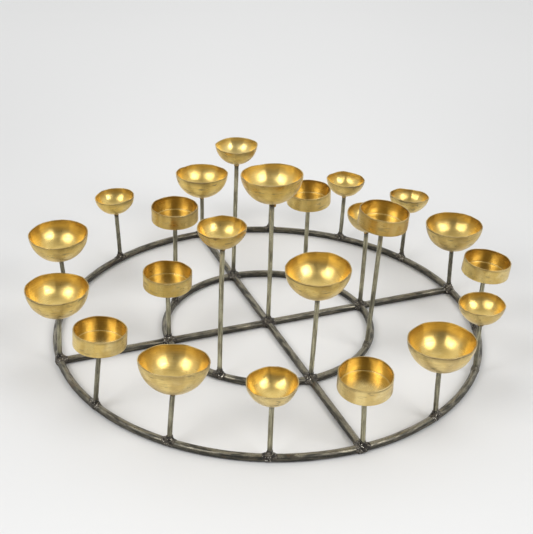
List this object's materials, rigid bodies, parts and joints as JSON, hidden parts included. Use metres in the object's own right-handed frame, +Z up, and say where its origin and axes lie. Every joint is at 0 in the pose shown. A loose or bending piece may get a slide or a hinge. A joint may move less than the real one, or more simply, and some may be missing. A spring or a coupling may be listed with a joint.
{
  "type": "votive candle rack",
  "caption": "Round flat frame of concentric steel rings and crossed bars, with upright stems of different heights that each carry a brass candle bowl or tealight cup.",
  "frame": {"origin": "centre of the outer ring, on the table plane under the frame", "axes": "+Z up; +Y from the front of the rack to its back; +X to the right seen from the front"},
  "size_m": [0.425, 0.4137, 0.1503],
  "materials": {
    "bar_steel": "bare mild steel round bar, dark grey-brown mill and heat finish under a thin satin lacquer",
    "stem_steel": "bare mild steel rod, warm olive-grey, satin, heat-darkened at both ends",
    "weld_steel": "uneven dark weld metal with small bright specks",
    "cup_brass": "hand-finished brass, satin golden inside, paler and brushed outside with light grey smudges",
    "braze_brass": "dull brass braze metal, darkened by heat"
  },
  "bodies": {
    "root": {"braze_joints": "braze_brass", "cross_bar_a": "bar_steel", "cross_bar_b_left": "bar_steel", "cross_bar_b_right": "bar_steel", "frame_welds": "weld_steel", "inner_ring_back_left": "bar_steel", "inner_ring_back_right": "bar_steel", "inner_ring_front_left": "bar_steel", "inner_ring_front_right": "bar_steel", "large_bowl_01": "cup_brass", "large_bowl_02": "cup_brass", "large_bowl_07": "cup_brass", "large_bowl_10": "cup_brass", "large_bowl_11": "cup_brass", "large_bowl_17": "cup_brass", "large_bowl_20": "cup_brass", "large_bowl_23": "cup_brass", "outer_ring": "bar_steel", "small_bowl_03": "cup_brass", "small_bowl_08": "cup_brass", "small_bowl_09": "cup_brass", "small_bowl_13": "cup_brass", "small_bowl_15": "cup_brass", "small_bowl_16": "cup_brass", "small_bowl_19": "cup_brass", "small_bowl_22": "cup_brass", "stem_01": "stem_steel", "stem_02": "stem_steel", "stem_03": "stem_steel", "stem_04": "stem_steel", "stem_05": "stem_steel", "stem_06": "stem_steel", "stem_07": "stem_steel", "stem_08": "stem_steel", "stem_09": "stem_steel", "stem_10": "stem_steel", "stem_11": "stem_steel", "stem_12": "stem_steel", "stem_13": "stem_steel", "stem_14": "stem_steel", "stem_15": "stem_steel", "stem_16": "stem_steel", "stem_17": "stem_steel", "stem_18": "stem_steel", "stem_19": "stem_steel", "stem_20": "stem_steel", "stem_21": "stem_steel", "stem_22": "stem_steel", "stem_23": "stem_steel", "stem_24": "stem_steel", "stem_foot_welds": "weld_steel", "tealight_cup_04": "cup_brass", "tealight_cup_05": "cup_brass", "tealight_cup_06": "cup_brass", "tealight_cup_12": "cup_brass", "tealight_cup_14": "cup_brass", "tealight_cup_18": "cup_brass", "tealight_cup_21": "cup_brass", "tealight_cup_24": "cup_brass"}
  },
  "joints": []
}
